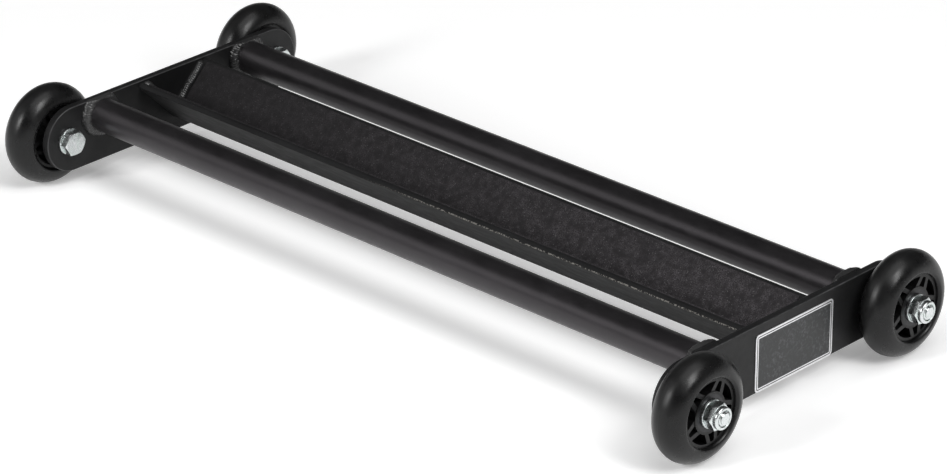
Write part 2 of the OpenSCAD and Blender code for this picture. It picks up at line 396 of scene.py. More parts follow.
def join(pieces: Sequence[Piece]) -> Piece:
    """Joins pieces into the first one's mesh, as separate shells."""
    pick_up(pieces[0])
    for piece in pieces:
        piece.select_set(True)
    bpy.ops.object.join()
    return pieces[0]


def copy_of(piece: Piece, name: str, turn: float = 0.0, place: Sequence[float] = (0, 0, 0)) -> Piece:
    """Copies a piece with its own mesh, turned about Z and moved, with its origin left at the middle.

    Args:
        piece: The piece to copy.
        name: The copy's name.
        turn: Turn about Z.
        place: Where the piece's origin goes.

    Returns:
        The copy.
    """
    pick_up(piece)
    bpy.ops.object.duplicate(linked=False)
    copy = bpy.context.active_object
    copy.name = copy.data.name = name
    copy.rotation_euler.z = turn
    copy.location = place
    bpy.ops.object.transform_apply(location=True, rotation=True, scale=True)
    return copy


def arc(centre: Flat, radius: float, start: float, end: float, steps: int) -> list[Flat]:
    """Points on an arc, both ends included, with angles in degrees from the first axis."""
    turns = [math.radians(start + (end - start) * step / steps) for step in range(steps + 1)]
    return [(centre[0] + radius * math.cos(t), centre[1] + radius * math.sin(t)) for t in turns]


def rounded(corners: Sequence[tuple[float, float, float]], steps: int = 5) -> list[Flat]:
    """Rounds the corners of a closed outline.

    Args:
        corners: Points as (first, second, radius), where a radius of 0 keeps the corner sharp.
        steps: Faces across each round.

    Returns:
        The outline's points.
    """
    points: list[Flat] = []
    for index, (first, second, radius) in enumerate(corners):
        here = Vector((first, second))
        if not radius:
            points.append((first, second))
            continue
        to_last = (Vector(corners[index - 1][:2]) - here).normalized()
        to_next = (Vector(corners[(index + 1) % len(corners)][:2]) - here).normalized()
        half = to_last.angle(to_next) / 2
        centre = here + (to_last + to_next).normalized() * radius / math.sin(half)
        reach = radius / math.tan(half)
        spoke = here + to_last * reach - centre
        sweep = spoke.angle_signed(here + to_next * reach - centre)
        for step in range(steps + 1):
            point = centre + Matrix.Rotation(-sweep * step / steps, 2) @ spoke
            points.append((point.x, point.y))
    return points


def ring_section(start: float, end: float, inner: float, outer: float, edge: float) -> list[Flat]:
    """The section of a ring between two stations and two radii, with rounded edges."""
    return rounded([(start, inner, edge), (end, inner, edge), (end, outer, edge), (start, outer, edge)], 3)


# Finishes


class PaintShop:
    """A material under construction, with short calls for the nodes that the finishes share."""

    def __init__(self, name: str) -> None:
        """Starts a material with its shader joined to its output."""
        self.material = bpy.data.materials.new(name)
        self.material.use_nodes = True
        self.tree = self.material.node_tree
        self.tree.nodes.clear()
        self.output = self.tree.nodes.new("ShaderNodeOutputMaterial")
        self.shader = self.tree.nodes.new("ShaderNodeBsdfPrincipled")
        self.join(self.shader.outputs["BSDF"], self.output.inputs["Surface"])

    def join(self, source: Socket, target: Socket) -> None:
        """Joins two sockets."""
        self.tree.links.new(source, target)

    def put(self, kind: str, values: dict | None = None, **settings) -> bpy.types.Node:
        """Adds a node.

        Args:
            kind: Blender's name of the node.
            values: Input names with a value or a socket to join.
            **settings: The node's own properties.

        Returns:
            The node.
        """
        node = self.tree.nodes.new(kind)
        for name, value in settings.items():
            setattr(node, name, value)
        for name, value in (values or {}).items():
            if isinstance(value, bpy.types.NodeSocket):
                self.join(value, node.inputs[name])
            else:
                node.inputs[name].default_value = value
        return node

    def set(self, **values: float | Colour | Socket) -> None:
        """Sets the shader's sockets, named with _ for a space."""
        for name, value in values.items():
            socket = self.shader.inputs[name.replace("_", " ")]
            if isinstance(value, bpy.types.NodeSocket):
                self.join(value, socket)
            elif isinstance(value, tuple):
                socket.default_value = (*value, 1.0)
            else:
                socket.default_value = value

    def place(self, scale: Sequence[float] = (1, 1, 1)) -> Socket:
        """Object coordinates, stretched."""
        coordinates = self.put("ShaderNodeTexCoord").outputs["Object"]
        return self.put("ShaderNodeMapping", {"Vector": coordinates, "Scale": scale}).outputs["Vector"]

    def noise(
        self, size: float, detail: float = 2.0, place: Socket | None = None, warp: float = 0.0
    ) -> Socket:
        """Noise whose blobs are about a size across, from 0 to 1."""
        return self.put(
            "ShaderNodeTexNoise",
            {"Vector": place or self.place(), "Scale": 1 / size, "Detail": detail, "Distortion": warp},
        ).outputs["Fac"]

    def cells(self, size: float) -> bpy.types.Node:
        """Cells about a size across."""
        return self.put("ShaderNodeTexVoronoi", {"Vector": self.place(), "Scale": 1 / size})

    def multiply(self, first: Socket, second: Socket | float) -> Socket:
        """The product of two numbers."""
        return self.calculate("MULTIPLY", first, second)

    def attribute(self, name: str) -> Socket:
        """A number that the mesh carries."""
        return self.put("ShaderNodeAttribute", attribute_name=name).outputs["Fac"]

    def axes(self) -> bpy.types.bpy_prop_collection:
        """The object coordinates' X, Y and Z."""
        return self.put("ShaderNodeSeparateXYZ", {"Vector": self.place()}).outputs

    def span(
        self, factor: Socket, low: float, high: float, to_low: float = 0.0, to_high: float = 1.0
    ) -> Socket:
        """Stretches the part of a factor between low and high onto a new span, and stops at its ends."""
        return self.put(
            "ShaderNodeMapRange",
            {"Value": factor, "From Min": low, "From Max": high, "To Min": to_low, "To Max": to_high},
        ).outputs["Result"]

    def blend(self, factor: Socket | float, first: Colour | Socket, second: Colour | Socket) -> Socket:
        """A colour between two others."""
        node = self.put("ShaderNodeMix", data_type="RGBA")
        sockets = (node.inputs["Factor"], node.inputs[6], node.inputs[7])
        for socket, value in zip(sockets, (factor, first, second)):
            if isinstance(value, bpy.types.NodeSocket):
                self.join(value, socket)
            else:
                socket.default_value = value if isinstance(value, float) else (*value, 1.0)
        return node.outputs[2]

    def calculate(self, operation: str, first: Socket | float, second: Socket | float = 0.0) -> Socket:
        """One sum of two numbers."""
        node = self.put("ShaderNodeMath", operation=operation)
        for socket, value in zip(node.inputs, (first, second)):
            if isinstance(value, bpy.types.NodeSocket):
                self.join(value, socket)
            else:
                socket.default_value = value
        return node.outputs[0]

    def raise_surface(self, height: Socket, depth: float, under: Socket | None = None) -> Socket:
        """A bump of a real depth, on top of another one where that is given."""
        values = {"Height": height, "Distance": depth, "Strength": 1.0}
        if under is not None:
            values["Normal"] = under
        return self.put("ShaderNodeBump", values).outputs["Normal"]


@dataclass(frozen=True)
class PowderCoat:
    """Baked powder paint with a fine texture, dust in its grain and faint rubbing marks, with optional pale
    specks along an edge and an optional painted highlight on rounded edges, where paint also rubs thin.
    """

    name: str
    colour: Colour = (0.007, 0.007, 0.0073)
    dust: Colour = (0.03, 0.03, 0.031)
    roughness: float = 0.46
    gloss: float = 0.27
    shine: Colour = (1.0, 1.0, 1.0)
    grain: float = 0.55 * MM
    grain_depth: float = 0.035 * MM
    sag: float = 7 * MM
    sag_depth: float = 0.05 * MM
    dust_share: float = 0.25
    speck_colour: Colour = (0.26, 0.25, 0.23)
    specked_edge: Flat | None = None
    highlight_and_wear_colour: Colour = (0.062, 0.062, 0.064)
    highlight_and_wear: str | None = None

    def edge_specks(self, shop: PaintShop) -> Socket:
        """Pale specks in a broken row along an edge that runs along X at both rows, fading in toward +X.

        Args:
            shop: The material under construction.

        Returns:
            1 on the specks and 0 elsewhere.
        """
        axes = shop.axes()
        row = shop.calculate("ABSOLUTE", axes["Y"])
        off_y = shop.calculate("ABSOLUTE", shop.calculate("SUBTRACT", row, self.specked_edge[0]))
        off_z = shop.calculate("ABSOLUTE", shop.calculate("SUBTRACT", axes["Z"], self.specked_edge[1]))
        near = shop.span(shop.calculate("MAXIMUM", off_y, off_z), 0.45 * MM, 0.75 * MM, 1.0, 0.0)
        spots = shop.span(shop.noise(1.1 * MM, 1), 0.48, 0.56)
        stretch = shop.span(axes["X"], -0.06, 0.03)
        return shop.multiply(near, shop.multiply(spots, stretch))

    def mix(self) -> bpy.types.Material:
        """Makes the material.

        Returns:
            The powder coat.
        """
        shop = PaintShop(self.name)
        grain = shop.noise(self.grain, 3)
        sag = shop.noise(self.sag, 1)
        cloud = shop.noise(45 * MM, 4)
        rubbed = shop.noise(6 * MM, 4, shop.place(scale=(0.5, 1, 1)))
        settled = shop.multiply(shop.span(grain, 0.5, 0.78), shop.span(cloud, 0.35, 0.7, 0.35, 1.0))
        shade = shop.span(cloud, 0.3, 0.7, 0.0, self.dust_share)
        tint = shop.blend(shade, self.colour, self.dust)
        tint = shop.blend(shop.multiply(settled, self.dust_share), tint, self.dust)
        # Pale specks along the toe edge, on the right part of the trough only.
        if self.specked_edge:
            tint = shop.blend(self.edge_specks(shop), tint, self.speck_colour)
        # Painted highlight on the rounded edges that the mesh attribute marks, broken by the rubbing noise;
        # it also stands for paint rubbed thin there.
        if self.highlight_and_wear:
            highlight_and_wear = shop.attribute(self.highlight_and_wear)
            highlight_and_wear_share = shop.multiply(highlight_and_wear, shop.span(rubbed, 0.3, 0.6, 0.3, 1.0))
            tint = shop.blend(highlight_and_wear_share, tint, self.highlight_and_wear_colour)
        dull = shop.span(rubbed, 0.35, 0.7, self.roughness - 0.04, self.roughness + 0.06)
        surface = shop.raise_surface(sag, self.sag_depth)
        surface = shop.raise_surface(grain, self.grain_depth, surface)
        shop.set(
            Base_Color=tint, Roughness=dull, Normal=surface, IOR=1.5,
            Specular_IOR_Level=self.gloss, Specular_Tint=self.shine,
        )
        return shop.material


@dataclass(frozen=True)
class GripTape:
    """Mineral grit bonded on a dark backing, with a few grains that catch the light.

    Its colour is painted darker toward its left end and lighter toward its right: painted shade and light, as
    from a lamp that stands nearer the right end.
    """

    name: str = "grip_tape_grit"
    left_end_shade: Colour = (0.0052, 0.0047, 0.0052)
    colour: Colour = (0.0185, 0.0165, 0.0181)
    grain_colour: Colour = (0.115, 0.105, 0.1135)
    glint_colour: Colour = (0.13, 0.125, 0.13)
    grain: float = 0.7 * MM
    grain_depth: float = 0.16 * MM

    def mix(self) -> bpy.types.Material:
        """Makes the material.

        Returns:
            The grit.
        """
        shop = PaintShop(self.name)
        grains = shop.cells(self.grain)
        height = shop.span(grains.outputs["Distance"], 0.05, 0.75, 1.0, 0.0)
        fine = shop.noise(0.35 * MM, 2)
        patches = shop.noise(5 * MM, 4)
        each = shop.put("ShaderNodeSeparateColor", {"Color": grains.outputs["Color"]})
        glints = shop.span(each.outputs["Red"], 0.97, 0.985)
        worn = shop.span(patches, 0.35, 0.72)
        tint = shop.blend(shop.multiply(height, worn), self.colour, self.grain_colour)
        tint = shop.blend(shop.multiply(glints, height), tint, self.glint_colour)
        # Painted shade: the colour darkens toward the left end, so the right end reads lighter, as if lit
        # more strongly there.
        tint = shop.blend(shop.span(shop.axes()["X"], -0.3, 0.3, 0.2, 1.0), self.left_end_shade, tint)
        surface = shop.raise_surface(height, self.grain_depth)
        surface = shop.raise_surface(fine, self.grain_depth / 3, surface)
        shop.set(
            Base_Color=tint, Roughness=shop.span(glints, 0.0, 1.0, 0.78, 0.35),
            Normal=surface, IOR=1.5, Specular_IOR_Level=0.28,
        )
        return shop.material


@dataclass(frozen=True)
class Urethane:
    """Cast wheel rubber: smooth and half glossy, dulled where it rolls."""

    name: str = "tyre_urethane"
    colour: Colour = (0.0066, 0.0066, 0.0068)
    dust: Colour = (0.017, 0.017, 0.017)
    roughness: float = 0.28

    def mix(self) -> bpy.types.Material:
        """Makes the material, which reads the tyre's own tread attribute.

        Returns:
            The rubber.
        """
        shop = PaintShop(self.name)
        tread = shop.attribute(Tyre.TREAD)
        rolled = shop.span(tread, 0.9, 1.0)
        cloud = shop.noise(9 * MM, 4)
        specks = shop.span(shop.noise(0.8 * MM, 2), 0.66, 0.76)
        tint = shop.blend(shop.span(cloud, 0.35, 0.75, 0.0, 0.3), self.colour, self.dust)
        tint = shop.blend(shop.multiply(rolled, 0.25), tint, self.dust)
        tint = shop.blend(shop.multiply(specks, 0.35), tint, self.dust)
        dull = shop.calculate("ADD", shop.span(cloud, 0.3, 0.7, self.roughness - 0.04, self.roughness + 0.06),
                              shop.multiply(rolled, 0.1))
        surface = shop.raise_surface(shop.noise(6 * MM, 2), 0.03 * MM)
        surface = shop.raise_surface(shop.noise(0.5 * MM, 2), 0.006 * MM, surface)
        shop.set(Base_Color=tint, Roughness=dull, Normal=surface, IOR=1.5, Specular_IOR_Level=0.3)
        return shop.material


@dataclass(frozen=True)
class Moulding:
    """Injection-moulded plastic with the fine texture of its mould."""

    name: str
    colour: Colour
    pale: Colour
    roughness: float = 0.42
    texture_depth: float = 0.012 * MM
    gloss: float = 0.5
    glow: float = 0.0

    def mix(self) -> bpy.types.Material:
        """Makes the material.

        Returns:
            The plastic.
        """
        shop = PaintShop(self.name)
        texture = shop.noise(0.3 * MM, 2)
        flow = shop.noise(5 * MM, 3, warp=1.5)
        tint = shop.blend(shop.span(flow, 0.35, 0.75, 0.0, 0.5), self.colour, self.pale)
        dull = shop.span(flow, 0.3, 0.7, self.roughness - 0.05, self.roughness + 0.08)
        shop.set(
            Base_Color=tint, Roughness=dull, IOR=1.5, Specular_IOR_Level=self.gloss,
            Normal=shop.raise_surface(texture, self.texture_depth),
        )
        if self.glow:
            shop.set(Subsurface_Weight=self.glow, Subsurface_Scale=1.5 * MM)
        return shop.material


@dataclass(frozen=True)
class Steel:
    """Bare or plated steel, with turning marks, small dents and a breath of colour from the plating."""

    name: str
    colour: Colour
    tint: Colour
    roughness: float = 0.24
    marks: float = 0.22 * MM
    mark_depth: float = 0.006 * MM
    dent_depth: float = 0.03 * MM

    def mix(self) -> bpy.types.Material:
        """Makes the material.

        Returns:
            The metal.
        """
        shop = PaintShop(self.name)
        plating = shop.noise(3.5 * MM, 3, warp=0.8)
        marks = shop.noise(self.marks, 3, shop.place(scale=(1, 0.25, 0.25)))
        dents = shop.noise(1.6 * MM, 2)
        tint = shop.blend(shop.span(plating, 0.35, 0.7), self.colour, self.tint)
        dull = shop.span(marks, 0.3, 0.75, self.roughness - 0.06, self.roughness + 0.12)
        surface = shop.raise_surface(dents, self.dent_depth)
        surface = shop.raise_surface(marks, self.mark_depth, surface)
        shop.set(Base_Color=tint, Roughness=dull, Metallic=1.0, Normal=surface)
        return shop.material


@dataclass(frozen=True)
class PrintedFoil:
    """The face of the blank label: a dark print with a fleck in it, half matte."""

    name: str = "label_print"
    colour: Colour = (0.0105, 0.0115, 0.0122)
    fleck: Colour = (0.082, 0.085, 0.09)
    roughness: float = 0.42

    def mix(self) -> bpy.types.Material:
        """Makes the material.

        Returns:
            The print.
        """
        shop = PaintShop(self.name)
        fleck = shop.noise(2.2 * MM, 5, warp=0.6)
        cloud = shop.noise(16 * MM, 2)
        tint = shop.blend(shop.span(fleck, 0.48, 0.66, 0.0, 0.9), self.colour, self.fleck)
        tint = shop.blend(shop.span(cloud, 0.38, 0.62, 0.0, 0.6), tint, self.colour)
        dull = shop.span(fleck, 0.3, 0.7, self.roughness, self.roughness + 0.12)
        surface = shop.raise_surface(shop.noise(0.4 * MM, 2), 0.008 * MM)
        shop.set(Base_Color=tint, Roughness=dull, Normal=surface, Coat_Weight=0.2, Coat_Roughness=0.3)
        return shop.material


def dress(piece: Piece, finish: bpy.types.Material) -> None:
    """Gives a piece one finish all over."""
    piece.data.materials.clear()
    piece.data.materials.append(finish)


def fit(piece: Piece, body: str, slot: Slot, *nodes: str) -> Piece:
    """Lets a finished piece ride on its body and stand for its CAD nodes, and reports it.

    Args:
        piece: The finished piece.
        body: The CAD body that it moves with.
        slot: The name of a material slot; not used.
        *nodes: The CAD nodes that it stands for.

    Returns:
        The piece.
    """
    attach(piece, body)
    if nodes:
        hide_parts(*nodes)
    log.info("%s: %d faces, rides on %s", piece.name, len(piece.data.polygons), body)
    return piece


def fit_twins(piece: Piece, twin_name: str, slot: Slot, node: str, twin_node: str) -> None:
    """Turns a copy of a frame piece half round the glider's middle, and fits both.

    Args:
        piece: The dressed piece, in place.
        twin_name: The copy's name.
        slot: The name of a material slot, handed on to fit.
        node: The CAD node that the piece stands for.
        twin_node: The CAD node that the copy stands for.
    """
    twin = copy_of(piece, twin_name, HALF_TURN)
    fit(piece, "frame", slot, node)
    fit(twin, "frame", slot, twin_node)


# Frame


@dataclass
class EndPlates:
    """The two flat end plates with round ends, each drilled for two axle bolts."""

    # Mesh attribute that marks the middle of the rounded edges for a painted highlight, which also stands for
    # paint rubbed thin.
    HIGHLIGHT_AND_WEAR = "edge_highlight_and_wear"

    edge: float = 0.8 * MM
    hole_radius: float = 5.25 * MM
    arc_steps: int = 48
    finish: PowderCoat = PowderCoat("frame_powder_coat", highlight_and_wear=HIGHLIGHT_AND_WEAR)

    def outline(self) -> list[Flat]:
        """The plate's outline in Y and Z."""
        radius = (STATIONS.plate_top - STATIONS.plate_bottom) / 2
        middle_z = (STATIONS.plate_top + STATIONS.plate_bottom) / 2
        end_y = STATIONS.plate_end - radius
        rear = arc((end_y, middle_z), radius, -90, 90, self.arc_steps)
        front = arc((-end_y, middle_z), radius, 90, 270, self.arc_steps)
        return rear + front

    def build(self) -> None:
        """Models the right plate, and turns a copy of it round for the left one."""
        thickness = STATIONS.plate_outer - STATIONS.plate_inner
        plate = cut_slab("right_end_plate", self.outline(), STATIONS.plate_inner, thickness)
        for row in Row:
            place = (STATIONS.plate_outer, row.value * STATIONS.axle_y, STATIONS.axle_z)
            drill(plate, place, self.hole_radius, 4 * thickness)
        soften(plate, self.edge)
        smooth(plate)
        # Marks the rounded edges for the painted edge highlight and wear.
        highlight_and_wear = plate.data.attributes.new(self.HIGHLIGHT_AND_WEAR, "FLOAT", "POINT")
        for vertex, value in zip(plate.data.vertices, highlight_and_wear.data):
            depth = min(STATIONS.plate_outer - vertex.co.x, vertex.co.x - STATIONS.plate_inner)
            value.value = float(0.1 * self.edge < depth < 0.9 * self.edge)
        dress(plate, self.finish.mix())
        fit_twins(plate, "left_end_plate", Slot.FRAME, "end_plate_right", "end_plate_left")


@dataclass
class Rails:
    """The two round rails, plain tubes butted on the end plates."""

    wall: float = 2 * MM
    edge: float = 0.3 * MM
    steps: int = 96
    finish: PowderCoat = PowderCoat(
        "rail_powder_coat", colour=(0.0085, 0.008, 0.0085), dust=(0.045, 0.043, 0.045),
        roughness=0.34, gloss=0.53, shine=(1.0, 0.93, 0.99), dust_share=0.2,
    )

    def build(self) -> None:
        """Turns one tube and lays it at both rows."""
        section = ring_section(
            -STATIONS.plate_inner, STATIONS.plate_inner,
            STATIONS.rail_radius - self.wall, STATIONS.rail_radius, self.edge,
        )
        tube = turn_on_lathe("tube", section, self.steps)
        smooth(tube)
        dress(tube, self.finish.mix())
        for row in Row:
            name = row.name.lower()
            rail = copy_of(tube, f"{name}_tube", place=(0, row.value * STATIONS.rail_y, STATIONS.rail_z))
            fit(rail, "frame", Slot.RAIL, f"{name}_rail")
        bpy.data.objects.remove(tube)


@dataclass
class FootTrough:
    """The steel angle that stands on its corner, with grip tape on both inner faces."""

    leg: float = 50 * MM
    thickness: float = 5 * MM
    heel_radius: float = 1 * MM
    root_radius: float = 5 * MM
    toe_radius: float = 2.5 * MM
    toe_edge: float = 0.6 * MM
    tape_start: float = 10 * MM
    tape_end: float = 47.2 * MM
    tape_thickness: float = 1 * MM
    tape_end_gap: float = 5.5 * MM
    tape_edge: float = 0.25 * MM
    grit_spacing: float = 1.1 * MM
    grit_height: float = 0.16 * MM
    grit_seed: int = 11
    finish: PowderCoat = PowderCoat(
        "trough_powder_coat", roughness=0.62, gloss=0.2,
        specked_edge=(leg * LEAN, STATIONS.trough_bottom + leg * LEAN),
    )
    grip: GripTape = GripTape()

    @staticmethod
    def stand(outline: Sequence[Flat]) -> list[Flat]:
        """Turns an outline drawn in the angle's own corner so that its legs rise at 45 degrees."""
        return [
            ((first - second) * LEAN, STATIONS.trough_bottom + (first + second) * LEAN)
            for first, second in outline
        ]

    @staticmethod
    def depth_over_rear_leg(place: Vector) -> float:
        """How far a point lies from the rear leg's outer face, toward the inside of the trough."""
        return (place.z - STATIONS.trough_bottom - place.y) * LEAN

    def outline(self) -> list[Flat]:
        """The angle's outline in Y and Z."""
        corners = [
            (0, 0, self.heel_radius),
            (self.leg, 0, self.toe_edge),
            (self.leg, self.thickness, self.toe_radius),
            (self.thickness, self.thickness, self.root_radius),
            (self.thickness, self.leg, self.toe_radius),
            (0, self.leg, self.toe_edge),
        ]
        return self.stand(rounded(corners, 8))

    def strip(self) -> Piece:
        """The rear leg's strip of tape, with rounded edges and grains that stand up from its face.

        Returns:
            The strip.
        """
        back, face = self.thickness, self.thickness + self.tape_thickness
        corners = [
            (self.tape_start, back, 0),
            (self.tape_end, back, 0),
            (self.tape_end, face, self.tape_edge),
            (self.tape_start, face, self.tape_edge),
        ]
        length = 2 * (STATIONS.plate_inner - self.tape_end_gap)
        strip = cut_slab("rear_grip_strip", self.stand(rounded(corners, 2)), -length / 2, length)
        with at_the_bench(strip):
            choose(strip, Pick.EDGES, lambda middle: abs(middle.x) < length / 4)
            bpy.ops.mesh.subdivide(number_cuts=round(length / self.grit_spacing))
            width = self.tape_end - self.tape_start
            both_edges = self.tape_start + self.tape_end + 2 * face
            centre_height = STATIONS.trough_bottom + both_edges * LEAN / 2
            choose(
                strip, Pick.EDGES,
                lambda middle: self.depth_over_rear_leg(middle) > face - self.tape_edge / 10
                and abs(middle.z - centre_height) < width / 10,
            )
            bpy.ops.mesh.subdivide(number_cuts=round(width / self.grit_spacing))
            choose(
                strip, Pick.VERTICES,
                lambda place: self.depth_over_rear_leg(place) > face - self.tape_edge / 10,
            )
            bpy.ops.transform.vertex_random(offset=self.grit_height, normal=1.0, seed=self.grit_seed)
        close_up(strip)
        return strip

    def build(self) -> None:
        """Models the angle and one strip of tape, and turns a copy of the strip round for the front leg."""
        length = 2 * STATIONS.plate_inner
        angle = cut_slab("v_trough", self.outline(), -STATIONS.plate_inner, length)
        smooth(angle)
        dress(angle, self.finish.mix())
        fit(angle, "frame", Slot.TROUGH, "foot_trough")
        rear = self.strip()
        shade(rear, 50)
        dress(rear, self.grip.mix())
        fit_twins(rear, "front_grip_strip", Slot.GRIP, "grip_tape_rear", "grip_tape_front")


@dataclass(frozen=True)
class Seam:
    """The place on a weld's seam that a point of its bead belongs to.

    The bead keeps a share of its size there, and may be flattened onto the plate's top edge.
    """

    corner: Vector
    out: Vector
    along: float
    share: float = 1.0
    flatten: float = 0.0


@dataclass(frozen=True)
class Ripple:
    """The hand-laid surface of a weld bead: overlapping scales, a wandering toe and small lumps."""

    pitch: float = 1.9 * MM
    height: float = 0.38 * MM
    wander: float = 0.55 * MM
    wander_length: float = 9 * MM
    lump: float = 0.3 * MM
    lump_size: float = 2.2 * MM
    smooth_angle: float = 60

    def growth(self, along: float, across: float, place: Vector) -> float:
        """How much the bead swells at a point.

        Args:
            along: Distance along the bead.
            across: Place across the bead, from 0 at one toe to 1 at the other.
            place: The point itself, which gives each bead its own lumps.

        Returns:
            The swelling, in metres.
        """
        bow = self.pitch * 0.55 * math.sin(math.pi * across)
        scale = abs(math.cos(math.pi * (along + bow) / self.pitch))
        return (
            self.height * (1 - scale) * math.sin(math.pi * (0.15 + 0.7 * across))
            + self.wander * noise.noise(place / self.wander_length)
            + self.lump * noise.noise(place / self.lump_size)
        )

    def lay(self, bead: Piece, leg: float, seam_at: Callable[[Vector], Seam]) -> None:
        """Gives a plain bead its ripples, and keeps it clear of the plate.

        Args:
            bead: The bead, with its corner on the seam.
            leg: The bead's leg.
            seam_at: Finds the place on the seam for a point.
        """
        for vertex in bead.data.vertices:
            seam = seam_at(vertex.co)
            reach = vertex.co - seam.corner
            if reach.length < leg / 2:
                continue
            across = math.atan2(reach.dot(seam.out), -reach.x) / QUARTER_TURN
            swell = self.growth(seam.along, across, vertex.co)
            vertex.co = seam.corner + reach * seam.share * (1 + swell / leg)
            vertex.co.x = min(vertex.co.x, STATIONS.plate_inner)
            over = vertex.co.z - STATIONS.plate_top
            if seam.flatten and over > 0:
                vertex.co.z = STATIONS.plate_top + seam.flatten * math.tanh(over / seam.flatten)
        bead.data.update()


@dataclass
class RailWelds:
    """A rippled bead round each end of each rail, flattened where it runs over the plate's top edge."""

    leg: float = 4.9 * MM
    crown: float = 1.0 * MM
    steps: int = 300
    section_steps: int = 10
    ripple: Ripple = Ripple(lump=0.5 * MM, wander=0.7 * MM)
    finish: PowderCoat = PowderCoat(
        "weld_powder_coat", colour=(0.009, 0.009, 0.0094), dust=(0.09, 0.09, 0.09), roughness=0.3,
        dust_share=0.35, gloss=0.55,
    )

    def bead(self, row: Row) -> Piece:
        """The bead at the right end of one rail.

        Args:
            row: The rail's row.

        Returns:
            The bead, in place.
        """
        radius = STATIONS.rail_radius
        section = [(STATIONS.plate_inner, radius)]
        section += arc((STATIONS.plate_inner, radius), self.leg, 180, 90, self.section_steps)
        bead = turn_on_lathe(f"rail_bead_{row.name.lower()}_right", section, self.steps)
        bead.location = (0, row.value * STATIONS.rail_y, STATIONS.rail_z)
        pick_up(bead)
        bpy.ops.object.transform_apply(location=True)
        centre = Vector((STATIONS.plate_inner, row.value * STATIONS.rail_y, STATIONS.rail_z))

        def seam_at(place: Vector) -> Seam:
            """The nearest place on the circle where the rail meets the plate."""
            out = Vector((0, place.y - centre.y, place.z - centre.z)).normalized()
            along = math.atan2(out.z, out.y) * (radius + self.leg / 2)
            return Seam(centre + out * radius, out, along, flatten=self.crown)

        self.ripple.lay(bead, self.leg, seam_at)
        return bead

    def build(self) -> None:
        """Models the right-hand beads, and turns copies round for the left-hand ones."""
        paint = self.finish.mix()
        for row in Row:
            right = self.bead(row)
            shade(right, self.ripple.smooth_angle)
            dress(right, paint)
            left = f"rail_bead_{Row(-row.value).name.lower()}_left"
            fit_twins(right, left, Slot.WELD, "rail_welds", "rail_welds")


@dataclass
class TroughWelds:
    """A rippled bead down each end of the trough's inner faces."""

    leg: float = 4 * MM
    run: float = 37.2 * MM
    toe_fade: float = 3 * MM
    least_share: float = 0.04
    cut_spacing: float = 0.45 * MM
    turn_steps: int = 14
    section_steps: int = 8
    ripple: Ripple = Ripple(pitch=1.7 * MM, height=0.3 * MM, wander=0.45 * MM, lump=0.25 * MM)
    finish: PowderCoat = RailWelds.finish

    def bead(self) -> Piece:
        """The bead at the trough's right end.

        Returns:
            The bead, in place.
        """
        trough = FootTrough()
        base = Vector((STATIONS.plate_inner, 0, STATIONS.trough_bottom))
        up_rear, up_front = Vector((0, LEAN, LEAN)), Vector((0, -LEAN, LEAN))
        root = trough.thickness + trough.root_radius
        toe = base + up_rear * (root + self.run) + up_front * trough.thickness
        section = [toe]
        for along, over in arc((0, 0), self.leg, 180, 90, self.section_steps):
            section.append(toe + Vector((along, 0, 0)) + up_front * over)
        bead = draw("trough_bead_right", section)
        centre = base + (up_rear + up_front) * root
        cuts = round(self.run / self.cut_spacing)
        with at_the_bench(bead, take_all=True):
            bpy.ops.mesh.edge_face_add()
            for _ in range(cuts):
                bpy.ops.mesh.extrude_region_move(TRANSFORM_OT_translate={"value": -up_rear * self.run / cuts})
            bpy.ops.mesh.spin(
                steps=self.turn_steps, angle=QUARTER_TURN, axis=(1, 0, 0), center=centre
            )
            for _ in range(cuts):
                bpy.ops.mesh.extrude_region_move(TRANSFORM_OT_translate={"value": up_front * self.run / cuts})
        close_up(bead)

        def seam_at(place: Vector) -> Seam:
            """The nearest place on the seam down one leg, round the root and up the other leg."""
            away = Vector((0, place.y, place.z)) - Vector((0, centre.y, centre.z))
            rear, front = away.dot(up_rear), away.dot(up_front)
            if rear >= 0:
                out, along = up_front, -rear
                corner = centre + up_rear * rear - out * trough.root_radius
            elif front >= 0:
                out, along = up_rear, front
                corner = centre + up_front * front - out * trough.root_radius
            else:
                out, along = -away.normalized(), 0.0
                corner = centre - out * trough.root_radius
            left = max(self.least_share, (self.run - abs(along)) / self.toe_fade)
            return Seam(corner, out, along, math.sqrt(min(1.0, left)))

        self.ripple.lay(bead, self.leg, seam_at)
        return bead

    def build(self) -> None:
        """Models the right-hand bead, and turns a copy round for the left end."""
        right = self.bead()
        shade(right, self.ripple.smooth_angle)
        dress(right, self.finish.mix())
        fit_twins(right, "trough_bead_left", Slot.WELD, "trough_welds", "trough_welds")


@dataclass
class BlankLabel:
    """The blank plate on the right end plate: a dark print inside a double silver border."""

    corner_radius: float = 3 * MM
    border: float = 1.3 * MM
    gap: float = 0.75 * MM
    line: float = 0.85 * MM
    edge: float = 0.12 * MM
    finish: PrintedFoil = PrintedFoil()
    silver: Steel = Steel(
        "label_silver", (0.9, 0.9, 0.91), (0.8, 0.8, 0.82), roughness=0.4, dent_depth=0.004 * MM
    )

    def build(self) -> None:
        """Cuts the plate and insets its face once for each printed line."""
        low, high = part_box("blank_label_plate")
        outline = rounded(
            [
                (low.y, low.z, self.corner_radius),
                (high.y, low.z, self.corner_radius),
                (high.y, high.z, self.corner_radius),
                (low.y, high.z, self.corner_radius),
            ],
            4,
        )
        plate = cut_slab("blank_plate", outline, low.x, high.x - low.x)
        dress(plate, self.silver.mix())
        plate.data.materials.append(self.finish.mix())
        middle = Vector((high.x, (low.y + high.y) / 2, (low.z + high.z) / 2))
        with at_the_bench(plate, Pick.FACES):
            choose(plate, Pick.FACES, lambda place: (place - middle).length < self.corner_radius)
            for width, slot_index in ((self.border, 1), (self.gap, 0), (self.line, 1)):
                bpy.ops.mesh.inset(thickness=width, use_even_offset=True)
                plate.active_material_index = slot_index
                bpy.ops.object.material_slot_assign()
        soften(plate, self.edge, segments=2)
        smooth(plate)
        fit(plate, "frame", Slot.LABEL, "blank_label_plate")


# Wheels


